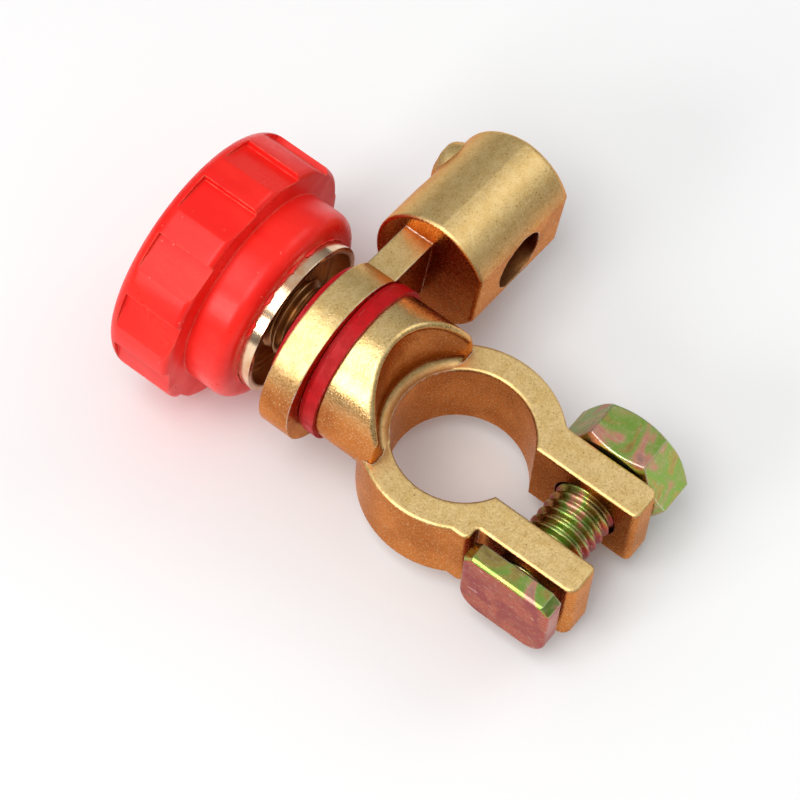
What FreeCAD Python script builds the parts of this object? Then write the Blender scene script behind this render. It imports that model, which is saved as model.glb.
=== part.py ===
"""Top-post battery terminal clamp with a rotary disconnect knob, in millimetres.

Frame: the origin is on the post's axis at the clamp's bottom face. +Z points up, out of the
battery. The slotted ears point along -Y, the knob along +Y and the cable barrel along +X.
"""
import FreeCAD, Part
import math
import os

from FreeCAD import Vector

# Post ring and ears
CLAMP_HEIGHT = 11.6
POST_BORE_RADIUS = 8.4
RING_WALL = 3.6
SLOT_WIDTH = 7.6
EAR_THICKNESS = 4.55
EAR_REACH = 21.8
EAR_CORNER_RADIUS = 1.3
EAR_SLOT_CORNER_RADIUS = 0.8
EAR_ROOT_RADIUS = 1.4
CAST_EDGE_RADIUS = 0.4

# Stop beside the bolt's head, which keeps the head from turning
STOP_WIDTH = 1.95
STOP_LENGTH = 3.6
STOP_GAP = 0.7
STOP_CORNER_RADIUS = 0.9

# Boss that carries the disconnect's neck
BOSS_RADIUS = 9.65
BOSS_AXIS_RISE = 0.45
BOSS_FRONT = 5.7
BOSS_LENGTH = 8.3
BOSS_RIM_RADIUS = 0.6
RECESS_WALL_GAP = 1.5
RECESS_FLARE = 0.5
RECESS_ROOT_RADIUS = 1.2

# Insulated neck through the lug's eye
NECK_RADIUS = 6.15
NECK_BORE_DEPTH = 11.4
LIP_RADIUS = 7.6
LIP_HEIGHT = 0.7
SLEEVE_WALL = 1.0
FLANGE_RADIUS = 10.15
FLANGE_THICKNESS = 2.2
FLANGE_STEP_HEIGHT = 0.6
FLANGE_STEP_DROP = 0.25
WASHER_RADIUS = 8.6
WASHER_THICKNESS = 1.3

# Cable lug
EYE_RADIUS = 10.9
EYE_OFFSET = 1.2
LUG_THICKNESS = 4.0
LUG_TILT = 10.0
ARM_HEIGHT = 9.2
ARM_RISE = 3.0
BARREL_START = 14.0
BARREL_LENGTH = 18.0
BARREL_RADIUS = 8.2
BARREL_RIDGE_OFFSET = 0.35
BARREL_Y = 15.9
BARREL_RISE = 2.8
BARREL_FLAT_CUT = 1.3
BARREL_NEAR_EDGE_RADIUS = 0.5
BARREL_FAR_EDGE_RADIUS = 1.0
CABLE_HOLE_RADIUS = 3.9
CABLE_HOLE_PLACE = 8.7
GATE_STUB_RADIUS = 2.4
GATE_STUB_SINK = 0.1
GATE_STUB_DEPTH = 4.0
GATE_STUB_INSET = 4.4
GATE_STUB_SIDE_MARGIN = 1.5

# Cable set screw in the barrel's end
SET_SCREW_RADIUS = 2.95
SET_SCREW_LENGTH = 4.4
SET_SCREW_INSET = 0.3
SOCKET_ACROSS_FLATS = 3.0
SOCKET_DEPTH = 2.0

# Contact cup and threaded stud
KNOB_GAP = 3.3
CUP_RADIUS = 9.95
CUP_RIM_WALL = 0.8
CUP_OUTER_DEPTH = 2.4
CUP_INNER_DEPTH = 3.2
CUP_INNER_RADIUS = 8.1
CUP_FLOOR = 1.2
CUP_EXPOSED_BAND = 1.6
STUD_RADIUS = 4.95
STUD_TIP_GAP = 0.4
STUD_TIP_CHAMFER = 0.8
STUD_HEAD_ACROSS_FLATS = 14.0
STUD_HEAD_THICKNESS = 4.5

# Knob
HUB_RADIUS = 12.7
HUB_LENGTH = 5.6
HUB_CORNER_RADIUS = 1.9
HEAD_RADIUS = 16.1
HEAD_LENGTH = 9.1
HEAD_EDGE_RADIUS = 1.9
HEAD_ROOT_RADIUS = 0.8
FLUTE_COUNT = 12
FLUTE_DEPTH = 0.75
FLUTE_SHARE = 0.6
FLUTE_FRONT_MARGIN = 1.5
FLUTE_PHASE = 88.0
DISH_RADIUS = 11.5
DISH_DEPTH = 0.8

# Clamp bolt and nut
BOLT_RADIUS = 3.95
BOLT_HOLE_GAP = 0.3
BOLT_DISTANCE = 15.05
BOLT_END_INSET = 0.4
BOLT_END_CHAMFER = 0.7
BOLT_HEAD_WIDTH = 12.0
BOLT_HEAD_THICKNESS = 2.5
BOLT_HEAD_GAP = 1.2
BOLT_HEAD_TOP_CORNER = 1.1
BOLT_HEAD_LOW_CORNER = 3.0
BOLT_HEAD_FACE_CHAMFER = 0.5
NUT_ACROSS_FLATS = 13.0
NUT_THICKNESS = 5.8
NUT_GAP = 0.3
NUT_FACE_RADIUS = 6.35
NUT_CHAMFER_ANGLE = 30.0

# Clearances of the fits
THREAD_CLEARANCE = 0.05
TURNING_CLEARANCE = 0.05
SEAT_CLEARANCE = 0.05
OVERCUT = 1.0

# Places that follow from the sizes above
AXIS_Z = CLAMP_HEIGHT + BOSS_AXIS_RISE
RING_RADIUS = POST_BORE_RADIUS + RING_WALL
EAR_INNER_X = SLOT_WIDTH / 2
EAR_OUTER_X = EAR_INNER_X + EAR_THICKNESS
RECESS_RADIUS = POST_BORE_RADIUS + RECESS_WALL_GAP
BOSS_END = BOSS_FRONT + BOSS_LENGTH
BARREL_FLAT_Y = BARREL_Y - BARREL_RADIUS + BARREL_FLAT_CUT
FLANGE_END = BOSS_END + FLANGE_THICKNESS
LUG_BACK = FLANGE_END + SEAT_CLEARANCE
LUG_FRONT = LUG_BACK + LUG_THICKNESS
WASHER_BACK = LUG_FRONT + SEAT_CLEARANCE
WASHER_FRONT = WASHER_BACK + WASHER_THICKNESS
LIP_FRONT = WASHER_FRONT + LIP_HEIGHT
NECK_BORE_END = LIP_FRONT - NECK_BORE_DEPTH
SLEEVE_INNER_RADIUS = NECK_RADIUS + SEAT_CLEARANCE
SLEEVE_OUTER_RADIUS = SLEEVE_INNER_RADIUS + SLEEVE_WALL
CUP_RIM = LUG_FRONT + KNOB_GAP
CUP_BACK = CUP_RIM + CUP_INNER_DEPTH + CUP_FLOOR
HUB_START = CUP_RIM + CUP_EXPOSED_BAND
HEAD_START = HUB_START + HUB_LENGTH
HEAD_END = HEAD_START + HEAD_LENGTH
STUD_SEAT = CUP_BACK + SEAT_CLEARANCE
STUD_TIP = NECK_BORE_END + STUD_TIP_GAP + KNOB_GAP
BOLT_Y = -BOLT_DISTANCE
BOLT_Z = CLAMP_HEIGHT / 2
BOLT_HEAD_SEAT_X = -(EAR_OUTER_X + BOLT_HEAD_GAP)
NUT_BACK_X = EAR_OUTER_X + NUT_GAP
NUT_FRONT_X = NUT_BACK_X + NUT_THICKNESS
STOP_Y = BOLT_Y + BOLT_HEAD_WIDTH / 2 + STOP_GAP

ALONG_X = Vector(1, 0, 0)
ALONG_Y = Vector(0, 1, 0)
ALONG_Z = Vector(0, 0, 1)


def disc(radius, start, end):
    """A cylinder about the knob's axis."""
    return Part.makeCylinder(radius, end - start, Vector(0, start, AXIS_Z), ALONG_Y)


def block(low, high):
    """A box between two corners."""
    size = high.sub(low)
    return Part.makeBox(size.x, size.y, size.z, low)


def turned(profile):
    """A solid turned about the knob's axis from (radius, y) corners."""
    corners = [Vector(radius, y, AXIS_Z) for radius, y in profile]
    face = Part.Face(Part.makePolygon(corners + corners[:1]))
    return face.revolve(Vector(0, 0, AXIS_Z), ALONG_Y, 360)


def edges_where(shape, wanted):
    """The edges whose middle point passes a test."""
    found = []
    for edge in shape.Edges:
        middle = edge.valueAt((edge.FirstParameter + edge.LastParameter) / 2)
        if wanted(edge, middle):
            found.append(edge)
    return found


def near(first, second):
    """True where two lengths agree."""
    return abs(first - second) < 1e-4


def upright(edge):
    """True for a straight edge along Z."""
    if not isinstance(edge.Curve, Part.Line):
        return False
    return near(abs(edge.Curve.Direction.z), 1)


def hexagon(across_flats, start, length, direction, flat_turn):
    """A hexagonal prism from start along direction, turned about its own axis."""
    corner_radius = across_flats / math.sqrt(3)
    corners = []
    for index in range(6):
        angle = math.radians(60 * index + flat_turn)
        corners.append(Vector(corner_radius * math.cos(angle), corner_radius * math.sin(angle), 0))
    face = Part.Face(Part.makePolygon(corners + corners[:1]))
    prism = face.extrude(Vector(0, 0, length))
    prism.Placement = FreeCAD.Placement(start, FreeCAD.Rotation(ALONG_Z, direction))
    return prism


def clamp_plan():
    """The ring, both ears and the bolt's stop at full height, before any hole."""
    ring = Part.makeCylinder(RING_RADIUS, CLAMP_HEIGHT)
    ears = block(Vector(-EAR_OUTER_X, -EAR_REACH, 0), Vector(EAR_OUTER_X, 0, CLAMP_HEIGHT))
    ear_ends = edges_where(ears, lambda edge, at: upright(edge) and near(at.y, -EAR_REACH))
    ears = ears.makeFillet(EAR_CORNER_RADIUS, ear_ends)
    stop = block(
        Vector(-EAR_OUTER_X - STOP_WIDTH, STOP_Y, 0),
        Vector(0, STOP_Y + STOP_LENGTH, CLAMP_HEIGHT),
    )
    stop_corner = edges_where(stop, lambda edge, at: upright(edge) and at.x < 0 and near(at.y, STOP_Y))
    stop = stop.makeFillet(STOP_CORNER_RADIUS, stop_corner)
    plan = ring.fuse([ears, stop]).removeSplitter()
    root_y = -math.sqrt(RING_RADIUS ** 2 - EAR_OUTER_X ** 2)
    ear_root = edges_where(
        plan, lambda edge, at: upright(edge) and near(at.x, EAR_OUTER_X) and near(at.y, root_y)
    )
    return plan.makeFillet(EAR_ROOT_RADIUS, ear_root)


def post_bore():
    """The room that the battery's post fills."""
    return Part.makeCylinder(POST_BORE_RADIUS, CLAMP_HEIGHT)


def slotted_ring():
    """The ring and ears with the post's bore, the slot and rounded cast edges."""
    slot = block(
        Vector(-EAR_INNER_X, -EAR_REACH - OVERCUT, 0),
        Vector(EAR_INNER_X, 0, CLAMP_HEIGHT),
    )
    ring = clamp_plan().cut([post_bore(), slot])
    slot_corners = edges_where(
        ring, lambda edge, at: upright(edge) and near(abs(at.x), EAR_INNER_X) and near(at.y, -EAR_REACH)
    )
    ring = ring.makeFillet(EAR_SLOT_CORNER_RADIUS, slot_corners)
    flat_edges = edges_where(ring, lambda edge, at: near(at.z, 0) or near(at.z, CLAMP_HEIGHT))
    return ring.makeFillet(CAST_EDGE_RADIUS, flat_edges)


def recess():
    """The room above the ring for a post that stands proud of it."""
    height = BOSS_RADIUS + BOSS_AXIS_RISE + OVERCUT
    base = Vector(0, 0, CLAMP_HEIGHT)
    room = Part.makeCone(RECESS_RADIUS, RECESS_RADIUS + RECESS_FLARE, height, base)
    root = edges_where(room, lambda edge, at: near(at.z, CLAMP_HEIGHT))
    return room.makeFillet(RECESS_ROOT_RADIUS, root)


def boss():
    """The round boss with its front cut back around the post and a rounded rim."""
    body = disc(BOSS_RADIUS, BOSS_FRONT, BOSS_END)
    body.rotate(Vector(0, 0, AXIS_Z), ALONG_Y, 90)
    body = body.cut(recess())

    def on_the_rim(edge, at):
        if isinstance(edge.Curve, Part.Line) and not upright(edge):
            return False
        return at.z > CLAMP_HEIGHT + BOSS_RIM_RADIUS and at.y < BOSS_END - BOSS_RIM_RADIUS

    return body.makeFillet(BOSS_RIM_RADIUS, edges_where(body, on_the_rim))


def neck():
    """The neck that carries the insulators, with its end swaged over the outer washer."""
    tube = disc(NECK_RADIUS, BOSS_END - OVERCUT, WASHER_FRONT)
    base = Vector(0, WASHER_FRONT, AXIS_Z)
    lip = Part.makeCone(LIP_RADIUS, NECK_RADIUS + LIP_HEIGHT, LIP_HEIGHT, base, ALONG_Y)
    return tube.fuse(lip)


def clamp_body():
    """The one casting that grips the post and carries everything else."""
    casting = slotted_ring().fuse([boss().cut(post_bore()), neck()])
    thread_bore = disc(STUD_RADIUS + THREAD_CLEARANCE, NECK_BORE_END, LIP_FRONT)
    bolt_hole = Part.makeCylinder(
        BOLT_RADIUS + BOLT_HOLE_GAP,
        2 * (EAR_OUTER_X + OVERCUT),
        Vector(-EAR_OUTER_X - OVERCUT, BOLT_Y, BOLT_Z),
        ALONG_X,
    )
    return casting.cut([thread_bore, bolt_hole]).removeSplitter()


def insulating_bush():
    """The flanged bush that keeps the lug off the boss and the neck."""
    flange = disc(FLANGE_RADIUS, BOSS_END, FLANGE_END - FLANGE_STEP_HEIGHT)
    step = disc(FLANGE_RADIUS - FLANGE_STEP_DROP, BOSS_END, FLANGE_END)
    sleeve = disc(SLEEVE_OUTER_RADIUS, BOSS_END, WASHER_BACK)
    hole = disc(SLEEVE_INNER_RADIUS, BOSS_END, WASHER_BACK)
    return flange.fuse([step, sleeve]).cut(hole).removeSplitter()


def outer_insulating_washer():
    """The washer that the swaged neck holds against the sleeve."""
    return disc(WASHER_RADIUS, WASHER_BACK, WASHER_FRONT).cut(
        disc(SLEEVE_INNER_RADIUS, WASHER_BACK, WASHER_FRONT)
    )


def lug_placement():
    """From the lug's own frame, x along the arm and z across it, to the clamp's frame."""
    return FreeCAD.Placement(Vector(0, 0, AXIS_Z), FreeCAD.Rotation(ALONG_Y, LUG_TILT))


def barrel():
    """The round cable barrel with a ridge along its top and a flat for the cable's hole."""
    end = BARREL_START + BARREL_LENGTH
    left_start = Vector(BARREL_START, BARREL_Y - BARREL_RIDGE_OFFSET, BARREL_RISE)
    right_start = Vector(BARREL_START, BARREL_Y + BARREL_RIDGE_OFFSET, BARREL_RISE)
    left = Part.makeCylinder(BARREL_RADIUS, BARREL_LENGTH, left_start, ALONG_X)
    right = Part.makeCylinder(BARREL_RADIUS, BARREL_LENGTH, right_start, ALONG_X)
    keep = block(
        Vector(BARREL_START, BARREL_FLAT_Y, BARREL_RISE - 2 * BARREL_RADIUS),
        Vector(end, BARREL_Y + 2 * BARREL_RADIUS, BARREL_RISE + 2 * BARREL_RADIUS),
    )
    body = left.common(right).common(keep)
    far_edges = edges_where(body, lambda edge, at: near(at.x, end))
    body = body.makeFillet(BARREL_FAR_EDGE_RADIUS, far_edges)
    near_edges = edges_where(body, lambda edge, at: near(at.x, BARREL_START))
    return body.makeFillet(BARREL_NEAR_EDGE_RADIUS, near_edges)


def gate_stub():
    """The stub that the casting's gate left on the barrel's far side."""
    along = BARREL_START + BARREL_LENGTH - GATE_STUB_INSET
    reach = BARREL_RADIUS - GATE_STUB_SINK
    rise = BARREL_RADIUS - GATE_STUB_RADIUS - GATE_STUB_SIDE_MARGIN
    root = Vector(along, BARREL_Y + reach - GATE_STUB_DEPTH, rise)
    return Part.makeCylinder(GATE_STUB_RADIUS, GATE_STUB_DEPTH, root, ALONG_Y)


def cable_lug():
    """The casting that carries the cable: eye, arm and barrel."""
    eye = Part.makeCylinder(EYE_RADIUS, LUG_THICKNESS, Vector(-EYE_OFFSET, LUG_BACK, 0), ALONG_Y)
    arm = block(
        Vector(0, LUG_BACK, ARM_RISE - ARM_HEIGHT / 2),
        Vector(BARREL_START + OVERCUT, LUG_FRONT, ARM_RISE + ARM_HEIGHT / 2),
    )
    casting = eye.fuse([arm, barrel(), gate_stub()])
    eye_hole = Part.makeCylinder(
        SLEEVE_OUTER_RADIUS + TURNING_CLEARANCE, LUG_THICKNESS, Vector(0, LUG_BACK, 0), ALONG_Y
    )
    cable_hole = Part.makeCylinder(
        CABLE_HOLE_RADIUS,
        4 * BARREL_RADIUS,
        Vector(BARREL_START + CABLE_HOLE_PLACE, BARREL_FLAT_Y - OVERCUT, BARREL_RISE),
        ALONG_Y,
    )
    screw_hole = Part.makeCylinder(
        SET_SCREW_RADIUS + THREAD_CLEARANCE,
        BARREL_LENGTH - CABLE_HOLE_PLACE + OVERCUT,
        Vector(BARREL_START + CABLE_HOLE_PLACE, BARREL_Y, BARREL_RISE),
        ALONG_X,
    )
    casting = casting.cut([eye_hole, cable_hole, screw_hole]).removeSplitter()
    casting.Placement = lug_placement()
    return casting


def cable_set_screw():
    """The socket set screw that presses on the cable."""
    tip_x = BARREL_START + BARREL_LENGTH - SET_SCREW_INSET - SET_SCREW_LENGTH
    tip = Vector(tip_x, BARREL_Y, BARREL_RISE)
    body = Part.makeCylinder(SET_SCREW_RADIUS, SET_SCREW_LENGTH, tip, ALONG_X)
    socket_floor = tip + ALONG_X * (SET_SCREW_LENGTH - SOCKET_DEPTH)
    socket = hexagon(SOCKET_ACROSS_FLATS, socket_floor, SOCKET_DEPTH, ALONG_X, 0)
    body = body.cut(socket)
    body.Placement = lug_placement()
    return body


def contact_cup():
    """The turned brass cup that the knob presses on the lug."""
    floor = CUP_RIM + CUP_INNER_DEPTH
    ledge = CUP_RIM + CUP_OUTER_DEPTH
    hole_radius = STUD_RADIUS + TURNING_CLEARANCE
    return turned([
        (hole_radius, floor),
        (CUP_INNER_RADIUS, floor),
        (CUP_INNER_RADIUS, ledge),
        (CUP_RADIUS - CUP_RIM_WALL, ledge),
        (CUP_RADIUS - CUP_RIM_WALL, CUP_RIM),
        (CUP_RADIUS, CUP_RIM),
        (CUP_RADIUS, CUP_BACK),
        (hole_radius, CUP_BACK),
    ])


def stud_head():
    """The hexagonal head that the plastic is moulded around."""
    return hexagon(STUD_HEAD_ACROSS_FLATS, Vector(0, STUD_SEAT, AXIS_Z), STUD_HEAD_THICKNESS, ALONG_Y, 0)


def knob_stud():
    """The threaded stud that the knob turns in the neck."""
    shank = disc(STUD_RADIUS, STUD_TIP, STUD_SEAT)
    tip = edges_where(shank, lambda edge, at: near(at.y, STUD_TIP))
    shank = shank.makeChamfer(STUD_TIP_CHAMFER, tip)
    return shank.fuse(stud_head()).removeSplitter()


def flute(index):
    """One recess in the knob's rim: a sharp step down at its start and a ramp back up at its end."""
    pitch = 2 * math.pi / FLUTE_COUNT
    first = math.radians(FLUTE_PHASE) + index * pitch
    last = first + pitch * FLUTE_SHARE
    outer = HEAD_RADIUS + OVERCUT
    corners = []
    for angle, radius in ((first, HEAD_RADIUS - FLUTE_DEPTH), (last, HEAD_RADIUS), (last, outer), (first, outer)):
        place = Vector(radius * math.cos(angle), HEAD_START - OVERCUT, AXIS_Z + radius * math.sin(angle))
        corners.append(place)
    face = Part.Face(Part.makePolygon(corners + corners[:1]))
    return face.extrude(ALONG_Y * (HEAD_LENGTH - FLUTE_FRONT_MARGIN + OVERCUT))


def knob_grip():
    """The moulded grip: a fluted head with a smaller hub behind the contact cup."""
    hub = disc(HUB_RADIUS, HUB_START, HEAD_START)
    hub_rim = edges_where(hub, lambda edge, at: near(at.y, HUB_START))
    hub = hub.makeFillet(HUB_CORNER_RADIUS, hub_rim)
    head = disc(HEAD_RADIUS, HEAD_START, HEAD_END)
    front_rim = edges_where(head, lambda edge, at: near(at.y, HEAD_END))
    head = head.makeFillet(HEAD_EDGE_RADIUS, front_rim)
    back_rim = edges_where(head, lambda edge, at: near(at.y, HEAD_START))
    head = head.makeFillet(HEAD_ROOT_RADIUS, back_rim)
    head = head.cut([flute(index) for index in range(FLUTE_COUNT)])
    grip = head.fuse(hub)
    cup_pocket = disc(CUP_RADIUS + TURNING_CLEARANCE, HUB_START, STUD_SEAT)
    dish = disc(DISH_RADIUS, HEAD_END - DISH_DEPTH, HEAD_END)
    return grip.cut([cup_pocket, stud_head(), dish]).removeSplitter()


def bolt_head():
    """The thin pressed head, square with its lower corners cut further than the upper ones."""
    half = BOLT_HEAD_WIDTH / 2
    low = Vector(BOLT_HEAD_SEAT_X - BOLT_HEAD_THICKNESS, BOLT_Y - half, BOLT_Z - half)
    high = Vector(BOLT_HEAD_SEAT_X, BOLT_Y + half, BOLT_Z + half)
    head = block(low, high)
    upper = edges_where(head, lambda edge, at: near(at.x, low.x + BOLT_HEAD_THICKNESS / 2) and at.z > BOLT_Z)
    head = head.makeChamfer(BOLT_HEAD_TOP_CORNER, upper)
    lower = edges_where(
        head, lambda edge, at: near(at.x, low.x + BOLT_HEAD_THICKNESS / 2) and near(at.z, low.z)
    )
    head = head.makeFillet(BOLT_HEAD_LOW_CORNER, lower)
    face_edges = edges_where(head, lambda edge, at: near(at.x, low.x))
    return head.makeFillet(BOLT_HEAD_FACE_CHAMFER, face_edges)


def clamp_bolt():
    """The bolt that draws the ears together."""
    end_x = NUT_FRONT_X - BOLT_END_INSET
    shank = Part.makeCylinder(
        BOLT_RADIUS, end_x - BOLT_HEAD_SEAT_X, Vector(BOLT_HEAD_SEAT_X, BOLT_Y, BOLT_Z), ALONG_X
    )
    end = edges_where(shank, lambda edge, at: near(at.x, end_x))
    shank = shank.makeChamfer(BOLT_END_CHAMFER, end)
    return shank.fuse(bolt_head()).removeSplitter()


def nut_chamfers():
    """Two cones that trim the hexagon's corners at both faces."""
    half = NUT_THICKNESS / 2
    waist_radius = NUT_FACE_RADIUS + half / math.tan(math.radians(NUT_CHAMFER_ANGLE))
    middle = Vector(NUT_BACK_X + half, BOLT_Y, BOLT_Z)
    back = Part.makeCone(NUT_FACE_RADIUS, waist_radius, half, Vector(NUT_BACK_X, BOLT_Y, BOLT_Z), ALONG_X)
    front = Part.makeCone(waist_radius, NUT_FACE_RADIUS, half, middle, ALONG_X)
    return back.fuse(front)


def clamp_nut():
    """The hexagon nut on the far ear, with a flat facing up."""
    start = Vector(NUT_BACK_X, BOLT_Y, BOLT_Z)
    blank = hexagon(NUT_ACROSS_FLATS, start, NUT_THICKNESS, ALONG_X, 30)
    blank = blank.common(nut_chamfers())
    bore = Part.makeCylinder(BOLT_RADIUS + THREAD_CLEARANCE, NUT_THICKNESS, start, ALONG_X)
    return blank.cut(bore)


NODES = {
    "clamp_body": clamp_body,
    "insulating_bush": insulating_bush,
    "outer_insulating_washer": outer_insulating_washer,
    "cable_lug": cable_lug,
    "cable_set_screw": cable_set_screw,
    "contact_cup": contact_cup,
    "knob_stud": knob_stud,
    "knob_grip": knob_grip,
    "clamp_bolt": clamp_bolt,
    "clamp_nut": clamp_nut,
}

os.makedirs("parts", exist_ok=True)
for name, make in NODES.items():
    shape = make()
    print(name, shape.isValid(), len(shape.Solids), round(shape.Volume, 1))
    shape.exportStep("parts/" + name + ".step")
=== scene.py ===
import math
from collections import namedtuple

import bmesh
import bpy
from mathutils import Matrix, Quaternion, Vector, noise


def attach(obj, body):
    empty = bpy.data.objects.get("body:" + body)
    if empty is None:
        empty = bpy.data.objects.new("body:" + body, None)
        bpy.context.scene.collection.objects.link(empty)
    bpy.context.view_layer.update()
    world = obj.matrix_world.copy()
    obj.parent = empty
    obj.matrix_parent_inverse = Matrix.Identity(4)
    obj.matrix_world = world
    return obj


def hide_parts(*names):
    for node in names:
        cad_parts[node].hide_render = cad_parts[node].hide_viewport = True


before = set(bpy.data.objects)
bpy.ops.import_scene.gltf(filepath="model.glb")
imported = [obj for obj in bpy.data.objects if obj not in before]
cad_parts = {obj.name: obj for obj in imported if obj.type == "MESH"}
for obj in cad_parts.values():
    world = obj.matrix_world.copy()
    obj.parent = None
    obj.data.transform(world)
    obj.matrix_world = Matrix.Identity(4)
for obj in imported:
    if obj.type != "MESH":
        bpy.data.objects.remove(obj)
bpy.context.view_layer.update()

MM = 0.001

# Camera, as the photograph was taken
CAMERA_PLACE = Vector((-0.156914, -0.092286, 0.369757))
CAMERA_AIM = Vector((0.00148, 0.009981, 0.006))
CAMERA_ROLL = math.radians(5.381)
CAMERA_LENS = 158.18
CAMERA_SENSOR = 36

# Places shared with the solids
KNOB_AXIS_Z = 12.05 * MM
LUG_TILT = math.radians(10)
CUP_RADIUS = 9.95 * MM
HUB_START = 25.15 * MM
BARREL_END = 32 * MM
BARREL_Y = 15.9 * MM
BARREL_RADIUS = 8.2 * MM
STUB_INSET = 4.4 * MM
STUB_RADIUS = 2.4 * MM
STUB_RISE = 4.3 * MM
STUB_FACE_Y = 24.0 * MM

# Threads: the axis and a point on it, then sizes and places along it
Thread = namedtuple("Thread", "along centre crest depth pitch seat tip chamfer")
BOLT_THREAD = Thread(
    along=Vector((1, 0, 0)),
    centre=Vector((0, -15.05, 5.8)) * MM,
    crest=3.95 * MM,
    depth=0.68 * MM,
    pitch=1.25 * MM,
    seat=-9.55 * MM,
    tip=14.05 * MM,
    chamfer=0.7 * MM,
)
STUD_THREAD = Thread(
    along=Vector((0, 1, 0)),
    centre=Vector((0, 0, KNOB_AXIS_Z)),
    crest=4.95 * MM,
    depth=0.82 * MM,
    pitch=1.5 * MM,
    seat=28.0 * MM,
    tip=14.6 * MM,
    chamfer=0.8 * MM,
)
THREAD_FLAT = 0.14
THREAD_COLLAR = 0.3 * MM
THREAD_RUNOUT = 0.6 * MM
THREAD_AROUND = 64
RINGS_PER_PITCH = 14
SHANK_TOLERANCE = 0.02 * MM
SEAT_TOLERANCE = 0.05 * MM

# The gate's broken face: raised lumps on the stub and a soft foot round it
SCAR_RINGS = 9
SCAR_FOOT_RINGS = 6
SCAR_AROUND = 36
SCAR_CENTRE_SHARE = 0.08
SCAR_RIM_SHARE = 1.03
SCAR_RISE = 0.06 * MM
SCAR_LUMP = 0.07 * MM
SCAR_LUMP_SIZE = 0.9 * MM
SCAR_FOOT = 1.5 * MM
SCAR_FOOT_LUMP = 0.10 * MM
SCAR_FOOT_SINK = 0.12 * MM

# The mould's flash over the cup's band
FLASH_AROUND = 240
FLASH_CLEARANCE = 0.06 * MM
FLASH_EDGE = 0.06 * MM
FLASH_ROOT = 0.3 * MM
FLASH_LEAST_REACH = 0.12 * MM
FLASH_MORE_REACH = 0.55 * MM
FLASH_LEAST_WALL = 0.16 * MM
FLASH_MORE_WALL = 0.25 * MM
FLASH_RAGGEDNESS = 5

# Where the brass changes its surface, each from one place to the other
RING_TOP_BLEND = (11.7 * MM, 12.1 * MM)
BOSS_BLEND = (11.5 * MM, 12.5 * MM)
EYE_BLEND = (11 * MM, 9 * MM)
CUP_INSIDE_BLEND = (CUP_RADIUS - 0.45 * MM, CUP_RADIUS - 0.65 * MM)

# Shading
SHADING_SAMPLES = 6
EDGE_FACING = (0.99, 0.86)

# Stage and light
FLOOR_Z = -4.15 * MM
FLOOR_REACH = 3
FLOOR_COLOUR = (0.90, 0.90, 0.895, 1)
FLOOR_ROUGHNESS = 0.85
LAMP_AIM = Vector((0.0, 0.01, 0.005))
SKY_COLOUR = (0.98, 0.99, 1.0, 1)
SKY_HEIGHTS = (0.0, 0.9)
SKY_STRENGTHS = (0.16, 0.62)


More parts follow.
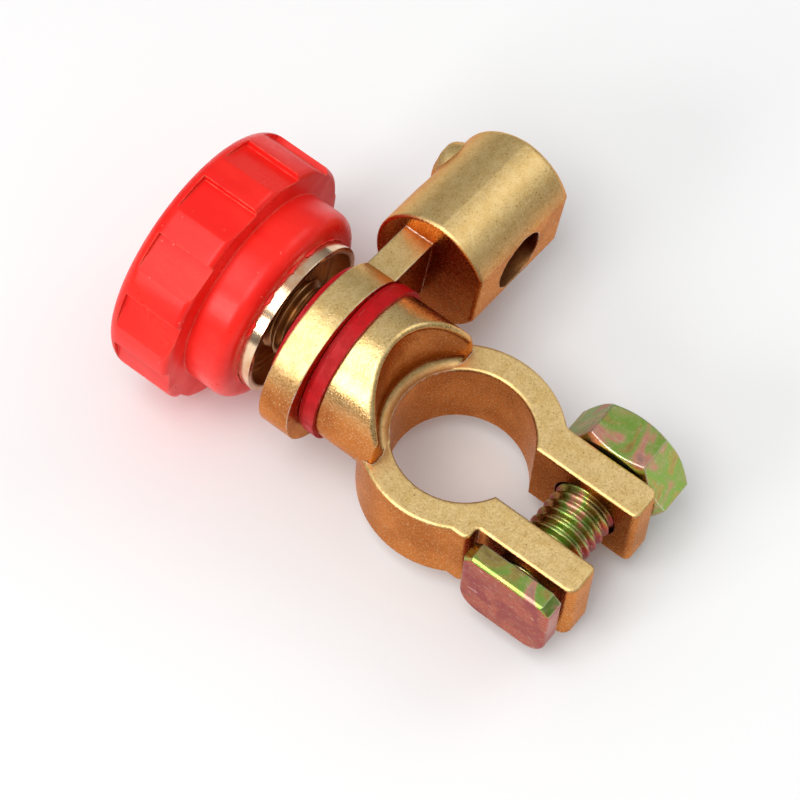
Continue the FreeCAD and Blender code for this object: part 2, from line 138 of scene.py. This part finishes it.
class Finish:
    """A Principled material whose pattern nodes are added one at a time."""

    def __init__(self, name, **plain):
        self.material = bpy.data.materials.new(name)
        self.material.use_nodes = True
        self.tree = self.material.node_tree
        self.shader = self.tree.nodes["Principled BSDF"]
        for key, value in plain.items():
            self.shader.inputs[key.replace("_", " ")].default_value = value
        self.place = self.tree.nodes.new("ShaderNodeTexCoord").outputs["Object"]

    def node(self, kind, **settings):
        made = self.tree.nodes.new(kind)
        for key, value in settings.items():
            setattr(made, key, value)
        return made

    def feed(self, socket, value):
        """Links a socket to the input, or writes a plain value on it."""
        if isinstance(value, bpy.types.NodeSocket):
            self.tree.links.new(value, socket)
        elif isinstance(value, tuple) and len(value) == 3 and len(socket.default_value) == 4:
            socket.default_value = (*value, 1)
        else:
            socket.default_value = value

    def calc(self, operation, first, second=0.0, clamp=False):
        made = self.node("ShaderNodeMath", operation=operation, use_clamp=clamp)
        self.feed(made.inputs[0], first)
        self.feed(made.inputs[1], second)
        return made.outputs[0]

    def mottle(self, size_mm, detail=2.0, roughness=0.5, distortion=0.0, place=None):
        """Noise whose features are about size_mm across."""
        made = self.node("ShaderNodeTexNoise")
        self.feed(made.inputs["Vector"], place or self.place)
        made.inputs["Scale"].default_value = 1 / (size_mm * MM)
        made.inputs["Detail"].default_value = detail
        made.inputs["Roughness"].default_value = roughness
        made.inputs["Distortion"].default_value = distortion
        return made.outputs["Fac"]

    def stretched(self, scale):
        """The object's coordinates, scaled differently along each axis."""
        made = self.node("ShaderNodeVectorMath", operation="MULTIPLY")
        self.feed(made.inputs[0], self.place)
        made.inputs[1].default_value = scale
        return made.outputs[0]

    def step(self, value, low, high, start=0.0, end=1.0):
        """value from low to high, mapped smoothly to start to end."""
        made = self.node("ShaderNodeMapRange", interpolation_type="SMOOTHSTEP")
        self.feed(made.inputs["Value"], value)
        self.feed(made.inputs["From Min"], low)
        self.feed(made.inputs["From Max"], high)
        self.feed(made.inputs["To Min"], start)
        self.feed(made.inputs["To Max"], end)
        return made.outputs["Result"]

    def ramp(self, value, stops):
        made = self.node("ShaderNodeValToRGB")
        self.feed(made.inputs["Fac"], value)
        points = made.color_ramp.elements
        while len(points) < len(stops):
            points.new(0.5)
        for point, (position, colour) in zip(points, stops):
            point.position = position
            point.color = (*colour, 1)
        return made.outputs["Color"]

    def mix(self, share, first, second):
        made = self.node("ShaderNodeMix", data_type="RGBA")
        self.feed(made.inputs["Factor"], share)
        self.feed(made.inputs[6], first)
        self.feed(made.inputs[7], second)
        return made.outputs[2]

    def tint(self, colour, share, strength, tone):
        """The colour, turned towards the tone where share says, by the strength at most."""
        return self.mix(self.calc("MULTIPLY", share, strength), colour, tone)

    def axis_of(self, vector, axis):
        made = self.node("ShaderNodeSeparateXYZ")
        self.feed(made.inputs[0], vector)
        return made.outputs[axis]

    def own_normal(self):
        return self.node("ShaderNodeTexCoord").outputs["Normal"]

    def edges(self, radius_mm):
        """1 at edges and 0 on open faces, with the rounded normal that found them."""
        rounded = self.node("ShaderNodeBevel", samples=SHADING_SAMPLES)
        rounded.inputs["Radius"].default_value = radius_mm * MM
        facing = self.node("ShaderNodeVectorMath", operation="DOT_PRODUCT")
        self.feed(facing.inputs[0], rounded.outputs[0])
        self.feed(facing.inputs[1], self.node("ShaderNodeNewGeometry").outputs["Normal"])
        return self.step(facing.outputs["Value"], *EDGE_FACING), rounded.outputs[0]

    def openness(self, distance_mm):
        """1 on open faces and less in corners."""
        made = self.node("ShaderNodeAmbientOcclusion", samples=SHADING_SAMPLES, only_local=True)
        made.inputs["Distance"].default_value = distance_mm * MM
        return made.outputs["AO"]

    def bump(self, height, distance_mm, strength, normal):
        made = self.node("ShaderNodeBump")
        self.feed(made.inputs["Height"], height)
        made.inputs["Distance"].default_value = distance_mm * MM
        made.inputs["Strength"].default_value = strength
        self.feed(made.inputs["Normal"], normal)
        return made.outputs["Normal"]

    def done(self, colour, roughness, normal):
        self.feed(self.shader.inputs["Base Color"], colour)
        self.feed(self.shader.inputs["Roughness"], roughness)
        self.feed(self.shader.inputs["Normal"], normal)
        return self.material


def cast_brass(name, glossy):
    """Fine-grained cast brass: sandy and pale, with a painted warm reflection on its sides, painted
    shade in corners and deep spaces, worn along its edges.
    """
    f = Finish(name, Metallic=1.0, Specular_Tint=(1.0, 0.74, 0.54, 1.0))
    smooth_part = glossy(f)
    cloudy = f.mottle(7, 3)
    patchy = f.mottle(1.5, 3, 0.6)
    grain = f.mottle(0.24, 3, 0.65)
    upward = f.step(f.axis_of(f.own_normal(), 2), 0.30, 0.85)
    sandy = f.mix(f.step(patchy, 0.30, 0.72), (0.84, 0.61, 0.27), (0.75, 0.51, 0.19))
    # Painted reflection: sides that don't face up get a darker, warmer orange, standing in for warm
    # surroundings reflected in them
    painted_warm_reflection = f.mix(f.step(cloudy, 0.38, 0.62), (0.62, 0.21, 0.05), (0.44, 0.12, 0.025))
    colour = f.mix(upward, painted_warm_reflection, sandy)
    colour = f.tint(colour, f.step(grain, 0.50, 0.70), 0.45, (0.95, 0.76, 0.44))
    colour = f.tint(colour, f.step(grain, 0.48, 0.30), 0.5, (0.42, 0.24, 0.08))
    specks = f.calc("MULTIPLY", f.step(f.mottle(0.36, 2, 0.6), 0.665, 0.71), f.step(patchy, 0.40, 0.55))
    colour = f.tint(colour, specks, 0.7, (0.24, 0.14, 0.06))
    # Painted shade: the colour turns dark brown in corners and creases
    painted_corner_shade = f.step(f.openness(1.6), 0.75, 0.25)
    colour = f.tint(colour, painted_corner_shade, 0.55, (0.30, 0.12, 0.04))
    # Painted shade: deep spaces between the parts turn deep brown, but not on the smooth boss and
    # recess
    painted_deep_shade = f.step(f.openness(12.0), 0.92, 0.40)
    painted_deep_shade = f.calc("MULTIPLY", painted_deep_shade, f.calc("SUBTRACT", 1.0, smooth_part))
    colour = f.tint(colour, painted_deep_shade, 0.9, (0.34, 0.085, 0.015))
    edge, rounded = f.edges(0.3)
    worn = f.calc("MULTIPLY", edge, f.step(f.mottle(0.9, 3, 0.7), 0.38, 0.60))
    colour = f.tint(colour, worn, 0.7, (0.80, 0.76, 0.70))
    matt = f.calc("ADD", f.calc("MULTIPLY", grain, 0.26), f.calc("MULTIPLY", upward, 0.16))
    rough = f.calc("ADD", matt, 0.15)
    rough = f.calc("SUBTRACT", rough, f.calc("MULTIPLY", smooth_part, 0.13))
    rough = f.calc("ADD", rough, f.calc("MULTIPLY", specks, 0.2), clamp=True)
    fine = f.bump(grain, 0.04, 0.75, rounded)
    uneven = f.bump(patchy, 0.12, 0.5, fine)
    return f.done(colour, rough, f.bump(cloudy, 0.35, 0.25, uneven))


def boss_share(f):
    """Where the clamp's casting is smooth and shiny: the boss and the recess above the ring."""
    above = f.step(f.axis_of(f.place, 2), *RING_TOP_BLEND)
    behind = f.step(f.axis_of(f.place, 1), *BOSS_BLEND)
    return f.calc("MAXIMUM", above, behind)


def eye_share(f):
    """Where the lug is shinier: around its eye."""
    return f.step(f.axis_of(f.place, 0), *EYE_BLEND, 0.0, 0.5)


def polished_brass():
    """Turned brass with fine rings round the knob's axis, a few dull patches, painted shade in its
    corners and a brown inside.
    """
    f = Finish("polished_brass_finish", Metallic=1.0)
    rings = f.mottle(0.9, 2, 0.6, place=f.stretched((1.0, 16.0, 1.0)))
    patches = f.mottle(2.6, 3, 0.6)
    colour = f.mix(f.step(patches, 0.40, 0.66), (0.90, 0.66, 0.44), (0.78, 0.44, 0.24))
    # Painted shade: the colour turns dark brown in corners
    colour = f.mix(f.step(f.openness(2.5), 0.8, 0.2), colour, (0.30, 0.13, 0.06))
    edge, rounded = f.edges(0.2)
    colour = f.tint(colour, edge, 0.5, (0.95, 0.86, 0.70))
    across = f.axis_of(f.place, 0)
    up = f.calc("SUBTRACT", f.axis_of(f.place, 2), KNOB_AXIS_Z)
    squares = f.calc("ADD", f.calc("MULTIPLY", across, across), f.calc("MULTIPLY", up, up))
    inside = f.step(f.calc("SQRT", squares), *CUP_INSIDE_BLEND)
    colour = f.tint(colour, inside, 0.85, (0.52, 0.26, 0.09))
    rough = f.calc("ADD", f.calc("MULTIPLY", rings, 0.14), f.step(patches, 0.5, 0.75, 0.03, 0.16))
    rough = f.calc("ADD", rough, f.calc("MULTIPLY", inside, 0.22))
    turned = f.calc("MULTIPLY", rings, f.calc("SUBTRACT", 1.0, inside))
    return f.done(colour, rough, f.bump(turned, 0.02, 0.30, rounded))


def knob_plastic():
    """Glossy red plastic with flow marks, nicks and paler edges."""
    f = Finish("knob_red_finish", Specular_IOR_Level=0.3)
    flow = f.mottle(5, 3, 0.5, 0.6, f.stretched((1.0, 0.4, 1.0)))
    skin = f.mottle(0.7, 3, 0.6)
    colour = f.mix(f.step(flow, 0.36, 0.64), (0.95, 0.020, 0.011), (0.87, 0.009, 0.005))
    edge, rounded = f.edges(0.28)
    chipped = f.calc("MULTIPLY", edge, f.step(f.mottle(1.1, 3, 0.7), 0.36, 0.62, 0.10, 0.60))
    colour = f.mix(chipped, colour, (0.96, 0.18, 0.10))
    nicks = f.step(f.mottle(0.8, 2, 0.7), 0.72, 0.76)
    colour = f.tint(colour, nicks, 0.5, (0.98, 0.42, 0.32))
    rough = f.calc("ADD", f.step(flow, 0.3, 0.7, 0.20, 0.36), f.calc("MULTIPLY", skin, 0.12))
    rolling = f.bump(flow, 0.25, 0.25, rounded)
    return f.done(colour, rough, f.bump(skin, 0.03, 0.30, rolling))


def insulator_plastic():
    """Crimson moulding with rough, whitish dashes along its rims."""
    f = Finish("insulator_red_finish", Specular_IOR_Level=0.2)
    mottled = f.mottle(1.6, 3, 0.6)
    colour = f.mix(f.step(mottled, 0.35, 0.65), (0.52, 0.002, 0.005), (0.42, 0.001, 0.003))
    edge, rounded = f.edges(0.14)
    dashes = f.calc("MULTIPLY", edge, f.step(f.mottle(0.8, 3, 0.75), 0.54, 0.64))
    colour = f.tint(colour, dashes, 0.7, (0.80, 0.38, 0.32))
    rough = f.step(mottled, 0.3, 0.7, 0.38, 0.56)
    return f.done(colour, rough, f.bump(f.mottle(0.4, 3, 0.7), 0.04, 0.45, rounded))


def yellow_zinc(name, side_reflection_share):
    """Iridescent yellow passivated zinc with a painted red reflection on its sides, painted shade in
    corners, worn bright edges and scuffs.
    """
    f = Finish(name, Metallic=1.0)
    drift = f.mottle(5.5, 2, 0.5, 1.2)
    colour = f.ramp(drift, [
        (0.28, (0.30, 0.20, 0.07)),
        (0.40, (0.46, 0.36, 0.10)),
        (0.47, (0.26, 0.44, 0.08)),
        (0.55, (0.36, 0.42, 0.12)),
        (0.62, (0.66, 0.30, 0.20)),
        (0.72, (0.40, 0.22, 0.20)),
    ])
    # Painted reflection: sides that don't face up turn red, up to the given share, standing in for warm
    # surroundings reflected in them
    sideways = f.step(f.axis_of(f.own_normal(), 2), 0.55, 0.10)
    painted_red_reflection = f.mix(f.step(drift, 0.40, 0.62), (0.46, 0.060, 0.025), (0.34, 0.022, 0.028))
    colour = f.tint(colour, sideways, side_reflection_share, painted_red_reflection)
    fine = f.mottle(0.5, 3, 0.7)
    colour = f.mix(f.step(fine, 0.5, 0.75, 0.0, 0.35), colour, (0.70, 0.56, 0.34))
    streaks = f.mottle(0.9, 3, 0.6, 0.4, f.stretched((3.0, 0.35, 1.6)))
    colour = f.mix(f.step(streaks, 0.62, 0.70, 0.0, 0.5), colour, (0.80, 0.60, 0.56))
    # Painted shade: the colour darkens in corners
    colour = f.mix(f.step(f.openness(1.2), 0.7, 0.2, 0.0, 0.6), colour, (0.16, 0.11, 0.05))
    edge, rounded = f.edges(0.3)
    colour = f.tint(colour, edge, 0.7, (0.84, 0.80, 0.70))
    rough = f.calc("ADD", f.calc("MULTIPLY", fine, 0.22), f.step(drift, 0.35, 0.65, 0.14, 0.26))
    dented = f.bump(f.mottle(2.4, 3, 0.6), 0.18, 0.35, rounded)
    return f.done(colour, rough, f.bump(fine, 0.03, 0.35, dented))


def dark_zinc():
    """The set screw's dull dark plating."""
    f = Finish("dark_zinc_finish", Metallic=1.0)
    mottled = f.mottle(0.9, 3, 0.6)
    colour = f.mix(f.step(mottled, 0.35, 0.65), (0.40, 0.39, 0.37), (0.24, 0.23, 0.22))
    edge, rounded = f.edges(0.15)
    colour = f.tint(colour, edge, 0.5, (0.62, 0.60, 0.56))
    rough = f.step(mottled, 0.3, 0.7, 0.28, 0.46)
    return f.done(colour, rough, f.bump(f.mottle(0.3, 3, 0.6), 0.02, 0.35, rounded))


def finish_node(node, material):
    """Gives a CAD node its finished material."""
    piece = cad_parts[node]
    for slot in piece.material_slots:
        slot.link = "OBJECT"
        slot.material = material


def new_piece(name, mesh, material, body):
    """Adds a piece with the given material that rides on a body."""
    made = bpy.data.objects.new(name, mesh)
    bpy.context.scene.collection.objects.link(made)
    mesh.materials.clear()
    mesh.materials.append(material)
    for face in mesh.polygons:
        face.material_index = 0
    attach(made, body)
    return made


def mesh_of(work, name):
    """Turns a finished bmesh into a mesh."""
    mesh = bpy.data.meshes.new(name)
    work.to_mesh(mesh)
    work.free()
    return mesh


def thread_depth(phase):
    """How deep a thread is cut, from 0 at the crest to 1 at the root, over one pitch."""
    ramp = abs(phase % 1.0 - 0.5) * 2
    return min(max((1 - THREAD_FLAT - ramp) / (1 - 2 * THREAD_FLAT), 0.0), 1.0)


def threaded_rod(thread):
    """A closed threaded rod along X, with a plain collar away from its tip."""
    work = bmesh.new()
    low = min(thread.seat, thread.tip)
    high = max(thread.seat, thread.tip)
    rings = int((high - low) / thread.pitch * RINGS_PER_PITCH)
    rows = []
    for i in range(rings + 1):
        x = low + (high - low) * i / rings
        from_tip = abs(x - thread.tip)
        from_root = abs(x - thread.seat)
        cut = min(max((from_root - THREAD_COLLAR) / THREAD_RUNOUT, 0), 1)
        limit = thread.crest - thread.chamfer + min(from_tip, thread.chamfer)
        row = []
        for j in range(THREAD_AROUND):
            angle = 2 * math.pi * j / THREAD_AROUND
            groove = thread.depth * cut * thread_depth(x / thread.pitch - j / THREAD_AROUND)
            radius = min(thread.crest - groove, limit)
            row.append(work.verts.new((x, radius * math.cos(angle), radius * math.sin(angle))))
        rows.append(row)
    for first, second in zip(rows, rows[1:]):
        for j in range(THREAD_AROUND):
            k = (j + 1) % THREAD_AROUND
            work.faces.new((first[j], first[k], second[k], second[j])).smooth = True
    work.faces.new(list(reversed(rows[0])))
    work.faces.new(rows[-1])
    return work


def is_shank(face, thread):
    """True for a face of the plain shank that the thread takes the place of."""
    towards_tip = math.copysign(1, thread.tip - thread.seat)
    if (face.calc_center_median().dot(thread.along) - thread.seat) * towards_tip <= SEAT_TOLERANCE:
        return False
    for vert in face.verts:
        offset = vert.co - thread.centre
        if (offset - thread.along * offset.dot(thread.along)).length >= thread.crest + SHANK_TOLERANCE:
            return False
    return True


def threaded_copy(node, name, thread, material, body):
    """The node's own head with its plain shank exchanged for a real thread."""
    work = bmesh.new()
    work.from_mesh(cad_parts[node].data)
    shank = [face for face in work.faces if is_shank(face, thread)]
    bmesh.ops.delete(work, geom=shank, context="FACES")
    rod = threaded_rod(thread)
    turn = Vector((1, 0, 0)).rotation_difference(thread.along).to_matrix().to_4x4()
    side = thread.centre - thread.along * thread.centre.dot(thread.along)
    rod.transform(Matrix.Translation(side) @ turn)
    rod_mesh = mesh_of(rod, name + "_rod")
    work.from_mesh(rod_mesh)
    bpy.data.meshes.remove(rod_mesh)
    made = new_piece(name, mesh_of(work, name), material, body)
    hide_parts(node)
    return made


def lug_point(u, y, w):
    """A point of the lug's own frame, along its arm, through it and across it."""
    return Vector((
        u * math.cos(LUG_TILT) + w * math.sin(LUG_TILT),
        y,
        KNOB_AXIS_Z - u * math.sin(LUG_TILT) + w * math.cos(LUG_TILT),
    ))


def barrel_surface(w):
    """How far along Y the barrel's side lies, just under its skin."""
    side = min(abs(w), BARREL_RADIUS * 0.995)
    return BARREL_Y + math.sqrt(BARREL_RADIUS ** 2 - side ** 2) - SCAR_FOOT_SINK


def scar_ring(work, radius, height):
    """One ring of the scar, where height gives a vertex its place along Y."""
    row = []
    for j in range(SCAR_AROUND):
        angle = 2 * math.pi * j / SCAR_AROUND
        u = BARREL_END - STUB_INSET + radius * math.cos(angle)
        w = STUB_RISE + radius * math.sin(angle)
        rough = noise.fractal(Vector((u, w, 0.3)) / SCAR_LUMP_SIZE, 0.8, 2.0, 4)
        row.append(work.verts.new(lug_point(u, height(w, rough), min(w, BARREL_RADIUS * 0.99))))
    return row


def gate_scar(material):
    """The broken face that the casting's gate left on the barrel."""
    work = bmesh.new()
    rows = []
    for i in range(SCAR_RINGS + 1):
        grown = SCAR_CENTRE_SHARE + (SCAR_RIM_SHARE - SCAR_CENTRE_SHARE) * i / SCAR_RINGS
        rows.append(scar_ring(
            work, STUB_RADIUS * grown,
            lambda w, rough: STUB_FACE_Y + SCAR_RISE + SCAR_LUMP * rough,
        ))
    for i in range(1, SCAR_FOOT_RINGS + 1):
        share = i / SCAR_FOOT_RINGS
        drop = share * share * (3 - 2 * share)
        rows.append(scar_ring(
            work, STUB_RADIUS * SCAR_RIM_SHARE + SCAR_FOOT * share,
            lambda w, rough: STUB_FACE_Y
            + (min(barrel_surface(w), STUB_FACE_Y) - STUB_FACE_Y) * drop
            + SCAR_FOOT_LUMP * rough * (1 - share),
        ))
    for first, second in zip(rows, rows[1:]):
        for j in range(SCAR_AROUND):
            k = (j + 1) % SCAR_AROUND
            work.faces.new((first[j], second[j], second[k], first[k])).smooth = True
    work.faces.new(rows[0])
    work.faces.new(list(reversed(rows[-1])))
    bmesh.ops.recalc_face_normals(work, faces=work.faces)
    return new_piece("gate_scar", mesh_of(work, "gate_scar"), material, "lug")


def hub_flash(material):
    """Thin ragged plastic that the mould let out over the cup's band."""
    work = bmesh.new()
    inner = CUP_RADIUS + FLASH_CLEARANCE
    rows = []
    for j in range(FLASH_AROUND):
        angle = 2 * math.pi * j / FLASH_AROUND
        outward = Vector((math.cos(angle), math.sin(angle), 0)) * FLASH_RAGGEDNESS
        ragged = noise.fractal(outward + Vector((0, 0, 0.7)), 0.9, 2.0, 4)
        reach = FLASH_LEAST_REACH + max(ragged, 0.0) * FLASH_MORE_REACH
        outer = inner + FLASH_LEAST_WALL + max(-ragged, 0.0) * FLASH_MORE_WALL
        corners = []
        for radius, y in (
            (inner, HUB_START + FLASH_ROOT),
            (inner, HUB_START - reach),
            (inner + FLASH_EDGE, HUB_START - reach),
            (outer, HUB_START + FLASH_ROOT),
        ):
            place = (radius * math.cos(angle), y, KNOB_AXIS_Z + radius * math.sin(angle))
            corners.append(work.verts.new(place))
        rows.append(corners)
    for j in range(FLASH_AROUND):
        first = rows[j]
        second = rows[(j + 1) % FLASH_AROUND]
        for c in range(4):
            d = (c + 1) % 4
            work.faces.new((first[c], second[c], second[d], first[d]))
    bmesh.ops.recalc_face_normals(work, faces=work.faces)
    return new_piece("hub_flash", mesh_of(work, "hub_flash"), material, "knob")


def pale_floor():
    """A plain floor that the clamp rests on."""
    corners = []
    for x, y in ((-1, -1), (1, -1), (1, 1), (-1, 1)):
        corners.append((x * FLOOR_REACH, y * FLOOR_REACH, FLOOR_Z))
    floor_mesh = bpy.data.meshes.new("floor")
    floor_mesh.from_pydata(corners, [], [(0, 1, 2, 3)])
    floor = bpy.data.objects.new("floor", floor_mesh)
    bpy.context.scene.collection.objects.link(floor)
    paper = bpy.data.materials.new("floor_paper")
    paper.use_nodes = True
    shader = paper.node_tree.nodes["Principled BSDF"]
    shader.inputs["Base Color"].default_value = FLOOR_COLOUR
    shader.inputs["Roughness"].default_value = FLOOR_ROUGHNESS
    floor_mesh.materials.append(paper)


def soft_lamp(name, place, size, power):
    """A square soft box that points at the object."""
    lamp = bpy.data.lights.new(name, "AREA")
    lamp.shape = "SQUARE"
    lamp.size = size
    lamp.energy = power
    holder = bpy.data.objects.new(name, lamp)
    holder.location = place
    holder.rotation_mode = "QUATERNION"
    holder.rotation_quaternion = (LAMP_AIM - Vector(place)).to_track_quat("-Z", "Y")
    bpy.context.scene.collection.objects.link(holder)


def studio_sky():
    """Soft light from all round, brighter overhead than at the horizon."""
    world = bpy.data.worlds.new("studio")
    bpy.context.scene.world = world
    world.use_nodes = True
    nodes = world.node_tree.nodes
    links = world.node_tree.links
    sky = nodes["Background"]
    sky.inputs["Color"].default_value = SKY_COLOUR
    direction = nodes.new("ShaderNodeTexCoord").outputs["Generated"]
    height = nodes.new("ShaderNodeSeparateXYZ")
    links.new(direction, height.inputs[0])
    brighter = nodes.new("ShaderNodeMapRange")
    brighter.inputs["From Min"].default_value = SKY_HEIGHTS[0]
    brighter.inputs["From Max"].default_value = SKY_HEIGHTS[1]
    brighter.inputs["To Min"].default_value = SKY_STRENGTHS[0]
    brighter.inputs["To Max"].default_value = SKY_STRENGTHS[1]
    links.new(height.outputs["Z"], brighter.inputs["Value"])
    links.new(brighter.outputs["Result"], sky.inputs["Strength"])


def photo_camera():
    """The camera that saw the photograph."""
    camera_data = bpy.data.cameras.new("photo_camera")
    camera_data.sensor_width = CAMERA_SENSOR
    camera_data.lens = CAMERA_LENS
    camera = bpy.data.objects.new("photo_camera", camera_data)
    camera.rotation_mode = "QUATERNION"
    camera.location = CAMERA_PLACE
    upright = (CAMERA_AIM - CAMERA_PLACE).to_track_quat("-Z", "Y")
    camera.rotation_quaternion = upright @ Quaternion((0, 0, 1), CAMERA_ROLL)
    bpy.context.scene.collection.objects.link(camera)
    bpy.context.scene.camera = camera


# Materials
clamp_brass = cast_brass("clamp_brass_finish", boss_share)
lug_brass = cast_brass("lug_brass_finish", eye_share)
cup_brass = polished_brass()
knob_red = knob_plastic()
insulator_red = insulator_plastic()
bolt_zinc = yellow_zinc("bolt_zinc_finish", 0.95)
nut_zinc = yellow_zinc("nut_zinc_finish", 0.15)
screw_zinc = dark_zinc()

# Pieces
finish_node("clamp_body", clamp_brass)
finish_node("cable_lug", lug_brass)
finish_node("contact_cup", cup_brass)
finish_node("knob_grip", knob_red)
finish_node("insulating_bush", insulator_red)
finish_node("outer_insulating_washer", insulator_red)
finish_node("clamp_nut", nut_zinc)
finish_node("cable_set_screw", screw_zinc)
threaded_copy("clamp_bolt", "threaded_bolt", BOLT_THREAD, bolt_zinc, "bolt")
threaded_copy("knob_stud", "threaded_stud", STUD_THREAD, cup_brass, "knob")
gate_scar(lug_brass)
hub_flash(knob_red)

# Stage, light and camera
pale_floor()
soft_lamp("key_lamp", (-0.32, 0.06, 0.80), 0.50, 3.7)
soft_lamp("side_lamp", (-0.70, 0.22, 0.40), 0.26, 1.9)
soft_lamp("fill_lamp", (0.60, -0.20, 0.55), 0.45, 0.9)
studio_sky()
photo_camera()
bpy.context.scene.view_settings.view_transform = "Standard"

bpy.context.view_layer.update()
